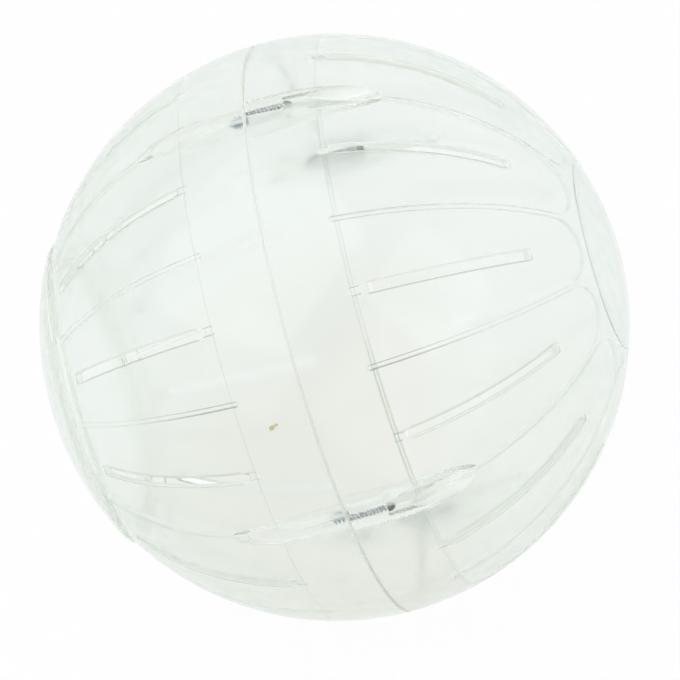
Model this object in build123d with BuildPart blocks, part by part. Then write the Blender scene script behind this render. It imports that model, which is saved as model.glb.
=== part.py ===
import os
from math import acos, atan2, cos, degrees, radians, sin, sqrt

from build123d import *

# Hamster ball: two clear half shells screwed together at a flat seam, with a snap-in door.
# X is the ball's axis: the closed half is on +X and the half with the door is on -X.
# The origin is the centre of the ball. Lengths are in millimetres, angles in degrees.

# Ball
ball_radius = 90.0
band_half_width = 21.2      # from the seam to the step where the thicker panels begin
band_wall = 1.3
panel_wall = 1.6
seam_gap = 0.1              # between the two halves
seam_chamfer = 0.5          # on each half's outer edge at the seam
fuse_depth = 0.7            # how far ribs, bosses and rings reach into the wall that carries them

# Ribs and slots, alike on both halves
rib_count = 12
rib_width = 1.4
rib_height = 1.0
rib_lead = 1.7              # how far a rib runs past the step, onto the band
slot_width = 2.8
slot_corner = 0.6           # of a slot's four corners
slot_round = 0.3            # of a slot's edges, on the outside
slot_setback = 4.0          # from the step to the slot's end, on the outside
slot_land = 7.8             # plain wall between the radius of the door's rim and a slot

# Ring that joins the ribs, inside the closed pole
hub_radius = 32.5           # out to the tips of the petals between the ribs
hub_bore = 29.0

# Doorway and door
opening_radius = 43.0
collar_width = 7.0          # raised ring inside the shell, around the doorway
collar_height = 0.8
flange_overlap = 5.0        # how far the door's rim covers the shell
flange_thickness = 0.9
flange_gap = 0.3            # between the shell and the underside of the rim
rim_fillet = 0.3
tab_angle = 48.0            # length of the lift tab round the rim
tab_turn = 143.2            # where the middle of the tab is
tab_width = 4.0             # how far the tab stands out from the rim
tab_thickness = 0.6
door_crown = 0.7            # how far the middle of the door stands out past the ball
door_wall = 1.8
skirt_gap = 0.4             # between the doorway and the door's skirt
skirt_wall = 1.6
skirt_reach = 0.8           # how far the skirt runs past the collar, into the ball
lug_count = 4
lug_angle = 48.0            # length of a snap lug round the skirt
lug_turn = 54.6             # where the middle of the first lug is
lug_length = 1.2
lug_gap = 0.1               # between the doorway and a lug

# Screws and their bosses
boss_count = 4
boss_depth = 5.5            # from the outside of the ball at the seam to a screw's axis
screw_length = 18.0         # under the head
screw_diameter = 2.8
core_diameter = 2.0
thread_pitch = 1.15
thread_neck = 0.9           # plain shank under the head
thread_crest = 0.12
tip_length = 2.0
head_diameter = 4.6
head_height = 1.7
head_edge = 0.6             # upright rim of the head
recess_width = 0.75
recess_span = 2.6
recess_depth = 1.0
head_seat = 11.5            # from the seam to the seat of a screw's head
hole_gap = 0.2              # round the thread in the closed half
pilot_bite = 0.25           # how deep the thread cuts into the other half
pilot_spare = 2.5           # depth of the pilot hole past the screw's tip
trough_gap = 1.2            # round the head, for the driver
trough_wall = 1.8
blind_boss_wall = 2.4

# Derived sizes
half_gap = seam_gap / 2
rib_pitch = 360 / rib_count
panel_radius = ball_radius - panel_wall
rim_radius = opening_radius + flange_overlap
slot_inner_radius = rim_radius + slot_land
slot_outer_radius = sqrt(ball_radius**2 - (band_half_width + slot_setback) ** 2)
boss_circle = ball_radius - boss_depth
trough_radius = head_diameter / 2 + trough_gap
pilot_radius = screw_diameter / 2 - pilot_bite
pilot_depth = screw_length - head_seat + pilot_spare
clear_angle = rib_pitch / 4     # a turn about the axis that meets neither ribs nor slots
same_share = 1e-6               # two lengths this close, for their size, are the same


def along_axis(radius, reach):
    # How far along the axis a ball of this radius is this far from the axis.
    return sqrt(radius**2 - reach**2)


def axial_plane(turn):
    # A plane through the ball's axis: local x runs along the axis, local y away from it.
    return Plane.XY.rotated((turn, 0, 0))


def axial_arc(radius, start, end):
    # An arc about the centre of the ball, between two distances along the axis.
    first = degrees(acos(start / radius))
    last = degrees(acos(end / radius))
    return CenterArc((0, 0), radius, first, last - first)


def spherical_layer(inner_radius, outer_radius):
    # Half of a hollow ball, from the seam to the pole.
    with BuildPart() as layer:
        with BuildSketch(axial_plane(clear_angle)):
            with BuildLine():
                outer = axial_arc(outer_radius, half_gap, outer_radius)
                inner = axial_arc(inner_radius, half_gap, inner_radius)
                Line(outer @ 0, inner @ 0)
                Line(outer @ 1, inner @ 1)
            make_face()
        revolve(axis=Axis.X)
    return layer.part


def hub_outline():
    # A ring whose outer edge is scalloped by the round ends of the petals between the ribs.
    # It ends a rib's width short of where a petal's round end runs into the side of a rib.
    half_pitch = radians(rib_pitch / 2)
    petal_centre = (hub_radius - rib_width / 2) / (1 - sin(half_pitch))
    with BuildSketch(Plane.YZ) as outline:
        Circle(petal_centre * cos(half_pitch) - rib_width)
        with PolarLocations(petal_centre, rib_count, start_angle=rib_pitch / 2):
            Circle(petal_centre - hub_radius, mode=Mode.SUBTRACT)
        Circle(hub_bore, mode=Mode.SUBTRACT)
    return outline.sketch


def rib_set(end_radius, with_hub):
    # Radial slabs with round ends on the band, trimmed to the layer that the ribs stand in.
    rib_start = band_half_width - rib_lead
    with BuildPart() as ribs:
        for index in range(rib_count):
            with BuildSketch(axial_plane(index * rib_pitch).offset(end_radius)):
                with Locations((rib_start + rib_width / 2, 0)):
                    Circle(rib_width / 2)
                    Rectangle(ball_radius, rib_width, align=(Align.MIN, Align.CENTER))
            extrude(amount=ball_radius - end_radius)
        if with_hub:
            extrude(hub_outline(), amount=ball_radius)
        layer = spherical_layer(panel_radius - rib_height, ball_radius - fuse_depth)
        add(layer, mode=Mode.INTERSECT)
    return ribs.part


def is_slot_rim(edge):
    # An edge on the outside of the ball that lies within a slot's width of a slot's middle plane.
    point = edge.position_at(0.5)
    turn = degrees(atan2(point.Z, point.Y)) % rib_pitch - rib_pitch / 2
    reach = sqrt(point.Y**2 + point.Z**2) * abs(sin(radians(turn)))
    return abs(point.length / ball_radius - 1) < same_share and reach < slot_width


def half_shell(rib_end_radius, with_hub):
    # What the two halves share: the band, the thicker panels, the ribs and the air slots.
    with BuildPart() as shell:
        with BuildSketch(axial_plane(clear_angle)):
            with BuildLine():
                outside = axial_arc(ball_radius, half_gap + seam_chamfer, ball_radius)
                panel = axial_arc(panel_radius, band_half_width, panel_radius)
                band = axial_arc(ball_radius - band_wall, half_gap, band_half_width)
                Polyline(outside @ 0, (half_gap, (outside @ 0).Y - seam_chamfer), band @ 0)
                Line(band @ 1, panel @ 0)
                Line(panel @ 1, outside @ 1)
            make_face()
        revolve(axis=Axis.X)
        add(rib_set(rib_end_radius, with_hub))
        with BuildSketch(Plane.YZ):
            slot_middle = (slot_inner_radius + slot_outer_radius) / 2
            with PolarLocations(slot_middle, rib_count, start_angle=rib_pitch / 2):
                RectangleRounded(slot_outer_radius - slot_inner_radius, slot_width, slot_corner)
        extrude(amount=ball_radius, mode=Mode.SUBTRACT)
        fillet(shell.edges().filter_by(is_slot_rim), slot_round)
    return shell.part


def collar_ring():
    # A raised ring that stiffens the edge of the doorway and takes the ends of the ribs.
    with BuildPart() as ring:
        with BuildSketch(Plane.YZ):
            Circle(opening_radius + collar_width)
            Circle(opening_radius, mode=Mode.SUBTRACT)
        extrude(amount=ball_radius)
        layer = spherical_layer(panel_radius - collar_height, ball_radius - fuse_depth)
        add(layer, mode=Mode.INTERSECT)
    return ring.part


def boss_set(boss_radius):
    # Round bosses along the axis, from the seam to where they run out into the wall.
    with BuildPart() as bosses:
        with BuildSketch(axial_plane(clear_angle)):
            with BuildLine():
                outside = axial_arc(ball_radius - fuse_depth, half_gap, ball_radius - fuse_depth)
                Polyline(outside @ 1, (half_gap, 0), outside @ 0)
            make_face()
        revolve(axis=Axis.X)
        with BuildSketch(Plane.YZ):
            with PolarLocations(boss_circle, boss_count):
                Circle(boss_radius)
        extrude(amount=ball_radius, mode=Mode.INTERSECT)
    return bosses.part


# Closed half: its troughs take the screws in from outside, down to the seats of their heads
with BuildPart() as closed_half:
    add(half_shell((hub_bore + hub_radius) / 2, True))
    add(boss_set(trough_radius + trough_wall))
    with BuildSketch(Plane.YZ.offset(head_seat)):
        with PolarLocations(boss_circle, boss_count):
            Circle(trough_radius)
    extrude(amount=ball_radius, mode=Mode.SUBTRACT)
    with BuildSketch(Plane.YZ):
        with PolarLocations(boss_circle, boss_count):
            Circle(screw_diameter / 2 + hole_gap)
    extrude(amount=head_seat, mode=Mode.SUBTRACT)

# Half with the doorway: its blind bosses hold the screws' threads
with BuildPart() as door_half:
    add(half_shell(opening_radius + collar_width / 2, False))
    add(collar_ring())
    add(boss_set(pilot_radius + blind_boss_wall))
    with BuildSketch(Plane.YZ):
        with PolarLocations(boss_circle, boss_count):
            Circle(pilot_radius)
    extrude(amount=pilot_depth, mode=Mode.SUBTRACT)
    with BuildSketch(Plane.YZ):
        Circle(opening_radius)
    extrude(amount=ball_radius, mode=Mode.SUBTRACT)
    mirror(about=Plane.YZ, mode=Mode.REPLACE)

# Door: a domed cap whose rim covers the edge of the doorway, with a skirt and snap lugs inside
seat_radius = ball_radius + flange_gap
skirt_radius = opening_radius - skirt_gap
rim_height = along_axis(seat_radius + flange_thickness, rim_radius)
dome_rise = ball_radius + door_crown - rim_height
dome_radius = (rim_radius**2 + dome_rise**2) / (2 * dome_rise)
dome_centre = ball_radius + door_crown - dome_radius
lining_radius = dome_radius - door_wall
bore_radius = skirt_radius - skirt_wall
lining_height = dome_centre + along_axis(lining_radius, bore_radius)
seat_inner = along_axis(seat_radius, skirt_radius)
seat_outer = along_axis(seat_radius, rim_radius)
doorway_inner = along_axis(panel_radius - collar_height, opening_radius)
skirt_end = doorway_inner - skirt_reach
lug_radius = opening_radius - lug_gap
tab_under = seat_radius + (flange_thickness - tab_thickness) / 2
tab_over = tab_under + tab_thickness
tab_reach = rim_radius + tab_width
with BuildPart() as door:
    with BuildSketch(axial_plane(clear_angle)) as door_profile:
        with BuildLine():
            dome = RadiusArc((dome_centre + dome_radius, 0), (rim_height, rim_radius), -dome_radius)
            seat = RadiusArc((seat_outer, rim_radius), (seat_inner, skirt_radius), seat_radius)
            lining = RadiusArc(
                (lining_height, bore_radius), (dome_centre + lining_radius, 0), lining_radius
            )
            Line(dome @ 1, seat @ 0)
            Polyline(seat @ 1, (skirt_end, skirt_radius), (skirt_end, bore_radius), lining @ 0)
            Line(lining @ 1, dome @ 0)
        make_face()
        fillet(door_profile.vertices().group_by(Axis.Y)[-1], rim_fillet)
    revolve(axis=Axis.X)
    for index in range(lug_count):
        lug_start = lug_turn + index * 360 / lug_count - lug_angle / 2
        with BuildSketch(axial_plane(lug_start)):
            with Locations((skirt_end, bore_radius + skirt_wall / 2)):
                Rectangle(
                    lug_length, lug_radius - bore_radius - skirt_wall / 2, align=(Align.MIN, Align.MIN)
                )
        revolve(axis=Axis.X, revolution_arc=lug_angle)
    with BuildSketch(axial_plane(tab_turn - tab_angle / 2)):
        with BuildLine():
            under = axial_arc(
                tab_under, along_axis(tab_under, opening_radius), along_axis(tab_under, tab_reach)
            )
            over = axial_arc(
                tab_over, along_axis(tab_over, opening_radius), along_axis(tab_over, tab_reach)
            )
            Line(under @ 0, over @ 0)
            Line(under @ 1, over @ 1)
        make_face()
    revolve(axis=Axis.X, revolution_arc=tab_angle)
    mirror(about=Plane.YZ, mode=Mode.REPLACE)

# Self-tapping screw, made upright with the underside of its head at zero
head_radius = head_diameter / 2
core_radius = core_diameter / 2
thread_length = screw_length - tip_length - thread_neck
with BuildPart() as screw:
    with BuildSketch(Plane.XZ):
        with BuildLine():
            crown = ThreePointArc(
                (0, head_height),
                (head_radius * cos(radians(45)), head_edge + (head_height - head_edge) * sin(radians(45))),
                (head_radius, head_edge),
            )
            Polyline(
                crown @ 1,
                (head_radius, 0),
                (core_radius, 0),
                (core_radius, tip_length - screw_length),
                (0, -screw_length),
                crown @ 0,
            )
        make_face()
    revolve(axis=Axis.Z)
    with BuildSketch(Plane.XY.offset(head_height)):
        Rectangle(recess_span, recess_width)
        Rectangle(recess_width, recess_span)
    extrude(amount=-recess_depth, mode=Mode.SUBTRACT)
    with BuildLine():
        thread_path = Helix(
            thread_pitch, thread_length, core_radius, center=(0, 0, tip_length - screw_length)
        )
    with BuildSketch(Plane(thread_path @ 0, x_dir=(1, 0, 0), z_dir=thread_path % 0)):
        crest_height = (screw_diameter - core_diameter) / 2
        foot = thread_pitch / 3
        Polygon(
            (-crest_height / 3, -foot),
            (crest_height, -thread_crest),
            (crest_height, thread_crest),
            (-crest_height / 3, foot),
            align=None,
        )
    sweep(path=thread_path, is_frenet=True)

os.makedirs("parts", exist_ok=True)
closed_half.part.label = "closed_half"
export_step(closed_half.part, "parts/closed_half.step")
door_half.part.label = "door_half"
export_step(door_half.part, "parts/door_half.step")
door.part.label = "door"
export_step(door.part, "parts/door.step")

# One screw to each boss, named for its side of the ball
screw_sides = ("back", "top", "front", "bottom")
for index, side in enumerate(screw_sides):
    turn = radians(index * 360 / boss_count)
    seat_point = (head_seat, boss_circle * cos(turn), boss_circle * sin(turn))
    with BuildPart() as placed_screw:
        with Locations(Plane(seat_point, x_dir=(0, cos(turn), sin(turn)), z_dir=(1, 0, 0))):
            add(screw.part)
    placed_screw.part.label = f"screw_{side}"
    export_step(placed_screw.part, f"parts/screw_{side}.step")
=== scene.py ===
import math
from types import SimpleNamespace

import bpy
from mathutils import Matrix, Vector


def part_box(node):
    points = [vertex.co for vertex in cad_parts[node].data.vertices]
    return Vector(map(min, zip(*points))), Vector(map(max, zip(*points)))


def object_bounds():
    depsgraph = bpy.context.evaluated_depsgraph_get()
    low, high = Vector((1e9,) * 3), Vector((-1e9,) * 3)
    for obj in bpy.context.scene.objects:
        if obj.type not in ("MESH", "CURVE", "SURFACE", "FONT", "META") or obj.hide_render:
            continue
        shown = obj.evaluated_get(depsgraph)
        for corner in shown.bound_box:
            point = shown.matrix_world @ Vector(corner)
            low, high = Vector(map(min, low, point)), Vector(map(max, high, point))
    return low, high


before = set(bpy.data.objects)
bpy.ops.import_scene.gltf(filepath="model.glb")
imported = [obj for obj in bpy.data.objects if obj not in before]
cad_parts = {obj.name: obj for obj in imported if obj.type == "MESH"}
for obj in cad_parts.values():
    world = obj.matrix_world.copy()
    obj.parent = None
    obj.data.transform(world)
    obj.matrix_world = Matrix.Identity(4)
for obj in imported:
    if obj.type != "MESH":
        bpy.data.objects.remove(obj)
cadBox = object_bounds()
scene = bpy.context.scene
scene.view_settings.view_transform = "Standard"
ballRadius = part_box("closed_half")[1].z
print("frame loaded, ball radius", ballRadius)

# Light crosses many clear walls, so it gets many bounces and no blur
clearBounces = 256
softBounces = 32
scene.cycles.max_bounces = clearBounces
scene.cycles.transmission_bounces = clearBounces
scene.cycles.glossy_bounces = clearBounces
scene.cycles.diffuse_bounces = softBounces
scene.cycles.blur_glossy = 0.0


class Wire:  # one shader socket, with maths written as Python
    def __init__(self, tree, socket=None):
        self.tree = tree
        self.socket = socket

    def node(self, kind, settings=None, inputs=None, out=0):
        made = self.tree.nodes.new("ShaderNode" + kind)
        for name, value in (settings or {}).items():
            setattr(made, name, value)
        for name, value in (inputs or {}).items():
            if isinstance(value, Wire):
                self.tree.links.new(value.socket, made.inputs[name])
            elif made.inputs[name].type == "RGBA":
                made.inputs[name].default_value = (*value, 1)
            else:
                made.inputs[name].default_value = value
        return Wire(self.tree, made.outputs[out] if made.outputs else None)

    def math(self, operation, first, second=0.0):
        return self.node("Math", {"operation": operation}, {0: first, 1: second})

    def __add__(self, other):
        return self.math("ADD", self, other)

    def __radd__(self, other):
        return self.math("ADD", other, self)

    def __sub__(self, other):
        return self.math("SUBTRACT", self, other)

    def __rsub__(self, other):
        return self.math("SUBTRACT", other, self)

    def __mul__(self, other):
        return self.math("MULTIPLY", self, other)

    def __rmul__(self, other):
        return self.math("MULTIPLY", other, self)

    def band(self, low, high, fromValue=0.0, toValue=1.0):  # smooth ramp between two values
        return self.node(
            "MapRange",
            {"interpolation_type": "SMOOTHSTEP"},
            {"Value": self, "From Min": low, "From Max": high, "To Min": fromValue, "To Max": toValue},
        )

    def below(self, low, high):  # 1 up to low, 0 from high on
        return self.band(low, high, 1.0, 0.0)

    def between(self, low, high, edge):  # 1 from low to high, with soft edges
        return self.band(low - edge, low) * self.below(high, high + edge)

    def wrap(self, high, low):
        return self.node("Math", {"operation": "WRAP"}, {0: self, 1: high, 2: low})

    def blend(self, low, high):  # colour mix by this value
        return self.node("Mix", {"data_type": "RGBA"}, {0: self, 6: low, 7: high}, out=2)

    def vector(self, operation, first, second=(0, 0, 0), out=0):
        return self.node("VectorMath", {"operation": operation}, {0: first, 1: second}, out)

    def noise(self, place, scale, detail):
        return self.node("TexNoise", {}, {"Vector": place, "Scale": scale, "Detail": detail})


def newMaterial(name):
    material = bpy.data.materials.new(name)
    material.use_nodes = True
    material.node_tree.nodes.clear()
    return material, Wire(material.node_tree)


# Clear moulding: polished faces, softer cut walls, hazy bosses.
# Places are in metres in the ball's frame, and turns about its axis are in radians. A pair is where
# a soft edge starts and ends, and three numbers are a stretch and the width of its two edges.
clearPlastic = {
    "pale": (0.982, 0.994, 0.987),
    "deep": (0.957, 0.974, 0.957),  # towards the door
    "paleAlong": (-0.04, 0.02),
    "paleShare": 0.75,
    "patchScale": 14.0,
    "patchDetail": 2.0,
    "patchRange": (0.35, 0.65),
    "patchShare": 0.25,
    "panelFrom": (0.0208, 0.0212),  # off the seam, where the thicker panels begin
    "bandShare": 0.55,
    "lowShade": (0.908, 0.9, 0.855),  # painted shade: darker and warmer low on the ball
    "lowShadeHeights": (-0.075, -0.01),
    "lowShadeAlong": (0.0, 0.035),  # it thins out towards the closed pole
    "lowShadeShare": 0.45,
    "ior": 1.5,
    "polish": 0.09,
    "scuff": 0.16,
    "scuffScale": 160.0,
    "scuffDetail": 6.0,
    "scuffRange": (0.3, 0.8),
    "poleReach": (0.0044, 0.0045),  # the poles' middles, which are shaded as part of a ball
    "rippleScale": 35.0,
    "rippleDetail": 1.0,
    "rippleHeight": 0.000016,
    "wallFacing": (0.75, 0.95),  # how squarely a face looks outward, below which it is a cut wall
    "wallSatin": 0.7,
    "satinTone": (0.97, 0.98, 0.96),
    "satinRoughness": 0.4,
    "depthTone": (0.62, 0.74, 0.62),
    "depthDensity": 7.0,
    "bossTone": (0.99, 0.995, 0.99),
    "bossReach": (0.0864, 0.0868),  # from the middle, inside which the bosses and the skirt lie
    "bossCircle": 0.0845,
    "bossHaze": 0.3,
    "bossIor": 1.2,
    "boreReach": (0.0022, 0.0026),
    "boreIor": 1.12,
    "ribCount": 12,
    "ribTone": (0.95, 0.97, 0.94),
    "ribHalf": 0.0007,
    "ribInner": (0.0415, 0.0425),
    "ribStart": (0.0198, 0.0202),
    "ribDepth": (0.0892, 0.0894),  # from the middle, so that the outside stays plain
    "ribEdge": 0.00024,
    "ribEdgeTurns": (2.5, 2.74, 0.06),  # the front rib that is seen edge-on, with a painted shade line
    "nextRibTurns": (1.97, 2.22, 0.06),  # the rib above it, fainter, on the closed half
    "nextRibAlong": (0.0, 0.0198),
    "nextRibShare": 0.45,
    "ribEdgeFade": (0.025, 0.06),
    "ribEdgeShades": ((0.2, 0.25, 0.2), (0.8, 0.85, 0.8)),  # painted shade lines, by the band and by the pole
    "lineCore": 0.4,  # share of a painted shade line that has its full tone
    "slotReach": (0.0558, 0.0864),  # a slot's two ends, off the axis
    "slotHalf": 0.0014,
    "slotEnd": (0.0256, 0.0258),  # along the ball's axis, the end by the band
    "slotSideHalf": (0.0017, 0.0019),
    "slotSideReach": (0.0558, 0.087, 0.0002),
    "rimWidth": 0.0007,
    "rimShades": ((0.8, 0.86, 0.79), (0.64, 0.72, 0.62)),  # painted shade along the slot rims: upper and lower side, on the front
    "rimTurns": (-0.004, 0.004),
    "rimShadePale": (0.88, 0.92, 0.88),  # paler painted shade towards the top and back
    "rimShadePaleFrom": (-0.036, -0.026),
    "seamPlace": (0.0006, 0.0008),
    "seamTone": (0.87, 0.91, 0.87),
    # the seam is darker low on the ball
    "seamDark": (0.76, 0.77, 0.71),
    "seamDarkHeights": (0.03, 0.08),
    "seamDepth": (0.0892, 0.0894),  # from the middle, below the chamfers
    "seamBack": (0.01, 0.02),
    "seamLow": (-0.02, 0.0),
    "stepPlace": 0.0212,
    "stepTwin": 0.0222,
    "stepWidth": 0.0003,
    "stepFront": (0.0, 0.02),
    "stepTones": ((0.68, 0.73, 0.68), (0.88, 0.91, 0.88)),  # painted shade lines on the steps: just above the front boss, and elsewhere
    "stepHeights": (0.014, 0.041, 0.014),
    "stepSide": (-0.01, 0.01),
    "specks": (
        ((-0.01184, -0.0814, 0.03653), 0.001, (0.5, 0.36, 0.16)),
        ((-0.01049, -0.08128, 0.0372), 0.0008, (0.6, 0.46, 0.22)),
        ((-0.00889, -0.08049, -0.03926), 0.0005, (0.55, 0.55, 0.52)),
    ),
    "speckScale": 1100.0,
    "speckDetail": 2.0,
    "speckRagged": 0.0014,
    "speckCore": 0.6,
}
doorPlastic = {
    **clearPlastic,
    "deep": clearPlastic["pale"],
    "wallSatin": 0.8,
    "satinTone": (0.8, 0.83, 0.8),
}


def findPlaces(wire, s):  # masks from 0 to 1 for the features of the ball, and what they come from
    at = SimpleNamespace()
    at.place = wire.node("TexCoord", out="Object")
    at.x, at.y, at.z = (wire.node("SeparateXYZ", {}, {0: at.place}, out=axis) for axis in "XYZ")
    at.offSeam = wire.math("ABSOLUTE", at.x)
    reach = wire.vector("LENGTH", at.place, out="Value")
    aside = wire.vector("ABSOLUTE", wire.vector("MULTIPLY", at.place, (0, 1, 1)))
    axial = wire.vector("LENGTH", aside, out="Value")

    at.outward = wire.vector("NORMALIZE", at.place)
    normal = wire.node("TexCoord", out="Normal")
    facing = wire.math("ABSOLUTE", wire.vector("DOT_PRODUCT", at.outward, normal, "Value"))
    at.offPole = axial.band(*s["poleReach"])
    at.wall = facing.below(*s["wallFacing"]) * at.offPole

    at.inside = reach.below(*s["bossReach"])
    toBoss = wire.math(
        "MINIMUM",
        wire.vector("DISTANCE", aside, (0, s["bossCircle"], 0), "Value"),
        wire.vector("DISTANCE", aside, (0, 0, s["bossCircle"]), "Value"),
    )
    at.bore = toBoss.below(*s["boreReach"])

    at.seam = at.offSeam.below(*s["seamPlace"])
    lowBack = at.y.band(*s["seamBack"]) * at.z.below(*s["seamLow"])
    touching = wire.math("MAXIMUM", lowBack, reach.below(*s["seamDepth"]))
    at.shut = at.wall * at.seam * touching  # where the halves touch and nothing shows

    halfPitch = math.pi / s["ribCount"]
    turn = wire.math("ARCTAN2", at.z, at.y)
    besideRib = wire.math("ABSOLUTE", axial * wire.math("SINE", turn.wrap(halfPitch, -halfPitch)))
    fromEdge = wire.math("ABSOLUTE", besideRib - s["ribHalf"])
    # painted shade lines along the rib edges
    at.ribEdge = fromEdge.below(s["ribEdge"] * s["lineCore"], s["ribEdge"])
    at.ribEdge = at.ribEdge * axial.band(*s["ribInner"]) * at.offSeam.band(*s["ribStart"])
    nextRib = turn.between(*s["nextRibTurns"]) * at.x.band(*s["nextRibAlong"]) * s["nextRibShare"]
    at.ribEdge = at.ribEdge * reach.below(*s["ribDepth"]) * (turn.between(*s["ribEdgeTurns"]) + nextRib)

    at.fromSlot = (turn - halfPitch).wrap(halfPitch, -halfPitch)  # slots lie midway between the ribs
    across = wire.math("ABSOLUTE", axial * wire.math("SINE", at.fromSlot))
    rimStart = s["slotHalf"] + s["rimWidth"] * s["lineCore"]
    # the slot rims, where shade lines are painted
    at.rim = axial.between(*s["slotReach"], s["rimWidth"])
    at.rim = at.rim * across.below(rimStart, s["slotHalf"] + s["rimWidth"])
    at.rim = at.rim * at.offSeam.band(*s["slotEnd"])
    at.slotSides = across.below(*s["slotSideHalf"]) * axial.between(*s["slotSideReach"])

    # painted shade lines along the panel steps, on the front only
    fromStep = wire.math("ABSOLUTE", at.offSeam - s["stepPlace"])
    fromStep = wire.math("MINIMUM", fromStep, wire.math("ABSOLUTE", at.x - s["stepTwin"]))
    at.step = fromStep.below(s["stepWidth"] * s["lineCore"], s["stepWidth"]) * at.y.below(*s["stepFront"])
    aboveBoss = at.z.between(*s["stepHeights"]) * at.x.band(*s["stepSide"])
    at.stepTone = aboveBoss.blend(*reversed(s["stepTones"]))
    return at


def plasticColour(wire, s, at):
    patches = wire.noise(at.place, s["patchScale"], s["patchDetail"]).band(*s["patchRange"])
    panel = at.offSeam.band(*s["panelFrom"], s["bandShare"], 1.0)
    paleness = at.x.band(*s["paleAlong"]) * s["paleShare"] + patches * s["patchShare"]
    colour = (panel * paleness).blend(s["deep"], s["pale"])
    # painted shade: darker and warmer low on the ball, weaker towards the closed pole
    lowShadeMask = at.z.below(*s["lowShadeHeights"]) * at.x.band(*s["lowShadeAlong"], 1.0, s["lowShadeShare"])
    colour = lowShadeMask.blend(colour, s["lowShade"])
    # painted shade along the slot rims, darker on the lower side and on the front
    rimShade = at.fromSlot.band(*s["rimTurns"]).blend(*s["rimShades"])
    rimShade = at.y.band(*s["rimShadePaleFrom"]).blend(rimShade, s["rimShadePale"])
    colour = at.rim.blend(colour, rimShade)
    # painted shade lines along the steps
    colour = at.step.blend(colour, at.stepTone)
    # painted shade lines along the front rib edges
    colour = at.ribEdge.blend(colour, at.offSeam.band(*s["ribEdgeFade"]).blend(*s["ribEdgeShades"]))
    ragged = wire.noise(at.place, s["speckScale"], s["speckDetail"]) * s["speckRagged"]
    ragged = ragged - s["speckRagged"] / 2
    for spot, size, tone in s["specks"]:
        away = wire.vector("DISTANCE", at.place, spot, "Value") + ragged
        colour = away.below(size * s["speckCore"], size).blend(colour, tone)
    return colour


def plasticRipple(wire, s, at):  # the faint unevenness of a moulded face
    flat, smooth = (wire.node("NewGeometry", out=name) for name in ("True Normal", "Normal"))
    side = wire.math("SIGN", wire.vector("DOT_PRODUCT", at.outward, flat, "Value"))
    dome = wire.node("VectorMath", {"operation": "SCALE"}, {0: at.outward, "Scale": side})
    rounded = wire.node("Mix", {"data_type": "VECTOR"}, {0: at.offPole, 4: dome, 5: smooth}, out=1)
    ripple = wire.noise(at.place, s["rippleScale"], s["rippleDetail"])
    inputs = {"Height": ripple, "Distance": s["rippleHeight"], "Strength": 1.0, "Normal": rounded}
    return wire.node("Bump", {}, inputs)


def makeClearPlastic(name, s):
    material, wire = newMaterial(name)
    at = findPlaces(wire, s)
    scuffs = wire.noise(at.place, s["scuffScale"], s["scuffDetail"])
    roughness = scuffs.band(*s["scuffRange"], s["polish"], s["scuff"])

    def glass(ior, rough, tone, **more):
        inputs = {"Base Color": tone, "Roughness": rough, "Transmission Weight": 1.0, "IOR": ior}
        return wire.node("BsdfPrincipled", {}, {**inputs, **more})

    clear = glass(s["ior"], roughness, plasticColour(wire, s, at), Normal=plasticRipple(wire, s, at))
    faint = glass(s["boreIor"], roughness, s["bossTone"])
    hazy = glass(s["bossIor"], s["bossHaze"], s["bossTone"])
    # the seam's tone, darker low on the ball
    seamTone = at.z.band(*s["seamDarkHeights"]).blend(s["seamDark"], s["seamTone"])
    satinTone = at.slotSides.blend(s["ribTone"], s["satinTone"])
    # the steps' painted shade also on the cut walls
    satinTone = at.step.blend(satinTone, at.stepTone)
    satinTone = at.seam.blend(satinTone, seamTone)
    satin = wire.node("BsdfPrincipled", {}, {"Base Color": satinTone, "Roughness": s["satinRoughness"]})
    faces = wire.node("MixShader", {}, {0: at.wall * s["wallSatin"], 1: clear, 2: satin})
    faces = wire.node("MixShader", {}, {0: at.shut, 1: faces, 2: wire.node("BsdfTransparent")})
    bossWalls = wire.node("MixShader", {}, {0: at.bore, 1: hazy, 2: faint})
    surface = wire.node("MixShader", {}, {0: at.inside, 1: faces, 2: bossWalls})
    depth = wire.node("VolumeAbsorption", {}, {"Color": s["depthTone"], "Density": s["depthDensity"]})
    wire.node("OutputMaterial", {}, {"Surface": surface, "Volume": depth})
    return material


# Plated screws
screwSteel = {
    "bright": (0.74, 0.76, 0.77),
    "dull": (0.46, 0.48, 0.5),
    "tarnishScale": 900.0,
    "tarnishDetail": 5.0,
    "tarnishRange": (0.35, 0.65),
    "roughRange": (0.3, 0.7),
    "roughness": (0.22, 0.42),
    "headShade": (0.12, 0.12, 0.12),  # painted shade on the heads: full on the front head, weaker on the top and back ones
    "headStart": (0.0114, 0.0117),  # along the ball's axis
    "headHeights": (-0.06, -0.05),  # the bottom head stays bright
    "headBack": (-0.06, 0.0),
    "headBackShare": 0.5,
    "tipTone": (0.4, 0.47, 0.52),
    "tipEnd": (-0.0005, 0.0),
}


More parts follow.
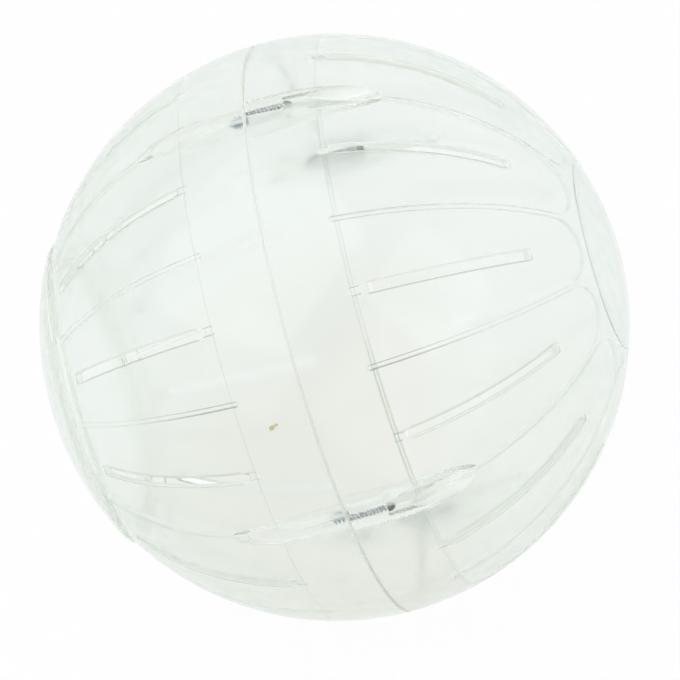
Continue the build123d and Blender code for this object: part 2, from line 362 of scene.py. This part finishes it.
def makeScrewSteel(name, s):
    material, wire = newMaterial(name)
    place = wire.node("TexCoord", out="Object")
    x, y, z = (wire.node("SeparateXYZ", {}, {0: place}, out=axis) for axis in "XYZ")
    tarnish = wire.noise(place, s["tarnishScale"], s["tarnishDetail"])
    colour = tarnish.band(*s["tarnishRange"]).blend(s["bright"], s["dull"])
    # painted shade on the screw heads, darkest on the front one
    shadedHeads = x.band(*s["headStart"]) * z.band(*s["headHeights"])
    shadedHeads = shadedHeads * y.band(*s["headBack"], 1.0, s["headBackShare"])
    colour = shadedHeads.blend(colour, s["headShade"])
    colour = x.band(*s["tipEnd"]).blend(s["tipTone"], colour)
    roughness = tarnish.band(*s["roughRange"], *s["roughness"])
    steel = wire.node("BsdfPrincipled", {}, {"Base Color": colour, "Roughness": roughness, "Metallic": 1.0})
    wire.node("OutputMaterial", {}, {"Surface": steel})
    return material


def dress(nodeName, material):
    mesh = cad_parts[nodeName].data
    if not mesh.materials:
        mesh.materials.append(material)
    for index in range(len(mesh.materials)):
        mesh.materials[index] = material


clearShell = makeClearPlastic("clearShell", clearPlastic)
for nodeName in ("closed_half", "door_half"):
    dress(nodeName, clearShell)
dress("door", makeClearPlastic("clearDoor", doorPlastic))
plating = makeScrewSteel("screwPlating", screwSteel)
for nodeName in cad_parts:
    if nodeName.startswith("screw_"):
        dress(nodeName, plating)
print("materials on", len(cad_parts), "nodes")


# Stage: white floor, white low surroundings, dimmer ceiling, soft lamps
stage = {
    "floorSize": 8.0,
    "floorWhite": 0.92,
    "shadowShare": 0.08,
    "throughShadow": (0.932, 0.957, 0.95),  # painted shadow: the floor under the ball, darker and tinted when seen through plastic
    "wallTone": 0.96,
    "ceilingTone": 0.8,
    "wallTop": 0.2,
    "ceilingStart": 0.7,
}


def seenByEye(wire):  # 1 for rays that show the stage directly, by reflection or through plastic
    camera, glossy, through = (
        wire.node("LightPath", out=name) for name in ("Is Camera Ray", "Is Glossy Ray", "Is Transmission Ray")
    )
    return wire.math("MINIMUM", camera + glossy + through, 1.0)


def makeFloor(s):
    half = s["floorSize"] / 2
    corners = [(-half, -half), (half, -half), (half, half), (-half, half)]
    mesh = bpy.data.meshes.new("floor")
    mesh.from_pydata([(x, y, cadBox[0][2]) for x, y in corners], [], [(0, 1, 2, 3)])
    floor = bpy.data.objects.new("floor", mesh)
    scene.collection.objects.link(floor)
    material, wire = newMaterial("floorPaper")
    paper = wire.node("BsdfDiffuse", {}, {"Color": (s["floorWhite"],) * 3})
    direct = wire.node("LightPath", out="Is Camera Ray")
    # rays through or off the plastic see the floor in a painted shadow tone
    white = wire.node("Emission", {}, {"Color": direct.blend(s["throughShadow"], (1, 1, 1)), "Strength": 1.0})
    mixed = wire.node("MixShader", {}, {0: seenByEye(wire) * (1 - s["shadowShare"]), 1: paper, 2: white})
    wire.node("OutputMaterial", {}, {"Surface": mixed})
    mesh.materials.append(material)


def makeWorld(s):
    scene.world = bpy.data.worlds.new("surroundings")
    scene.world.use_nodes = True
    scene.world.node_tree.nodes.clear()
    wire = Wire(scene.world.node_tree)
    direction = wire.node("TexCoord", out="Generated")
    height = wire.node("SeparateXYZ", {}, {0: direction}, out="Z")
    tone = height.band(s["wallTop"], s["ceilingStart"], s["wallTone"], s["ceilingTone"])
    strength = wire.math("MAXIMUM", tone, wire.node("LightPath", out="Is Camera Ray"))
    light = wire.node("Background", {}, {"Color": (1, 1, 1), "Strength": strength})
    wire.node("OutputWorld", {}, {"Surface": light})


softLamps = {
    "overhead": {"place": (-0.6, -0.5, 2.2), "size": 3.0, "power": 14.0},
    "side": {"place": (2.2, -1.4, 1.4), "size": 2.0, "power": 5.0},
}


def makeLamps():
    for name, lamp in softLamps.items():
        data = bpy.data.lights.new(name, "AREA")
        data.shape = "SQUARE"
        data.size = lamp["size"]
        data.energy = lamp["power"]
        placed = bpy.data.objects.new(name, data)
        placed.location = lamp["place"]
        placed.rotation_euler = (-Vector(lamp["place"])).to_track_quat("-Z", "Y").to_euler()
        scene.collection.objects.link(placed)


cameraView = {
    "azimuth": 12.0,
    "elevation": 38.8,
    "roll": 22.9,
    "distanceInRadii": 16.05,
    "lens": 249.0,
    "sensor": 36.0,
    "aimRight": 0.0012,
    "aimUp": -0.0039,
}


def makeCamera(s):
    azimuth, elevation, roll = (math.radians(s[key]) for key in ("azimuth", "elevation", "roll"))
    level = Vector((math.cos(azimuth), math.sin(azimuth), 0))
    away = Vector((math.sin(azimuth), -math.cos(azimuth), 0))
    back = away * math.cos(elevation) + Vector((0, 0, math.sin(elevation)))
    upright = back.cross(level)
    right = level * math.cos(roll) - upright * math.sin(roll)
    up = level * math.sin(roll) + upright * math.cos(roll)
    place = right * s["aimRight"] + up * s["aimUp"] + back * s["distanceInRadii"] * ballRadius
    data = bpy.data.cameras.new("photoView")
    data.lens = s["lens"]
    data.sensor_width = s["sensor"]
    camera = bpy.data.objects.new("photoView", data)
    turned = Matrix((right, up, back)).transposed()
    camera.matrix_world = Matrix.Translation(place) @ turned.to_4x4()
    scene.collection.objects.link(camera)
    scene.camera = camera


makeFloor(stage)
makeWorld(stage)
makeLamps()
makeCamera(cameraView)
print("stage, lamps and camera are set")
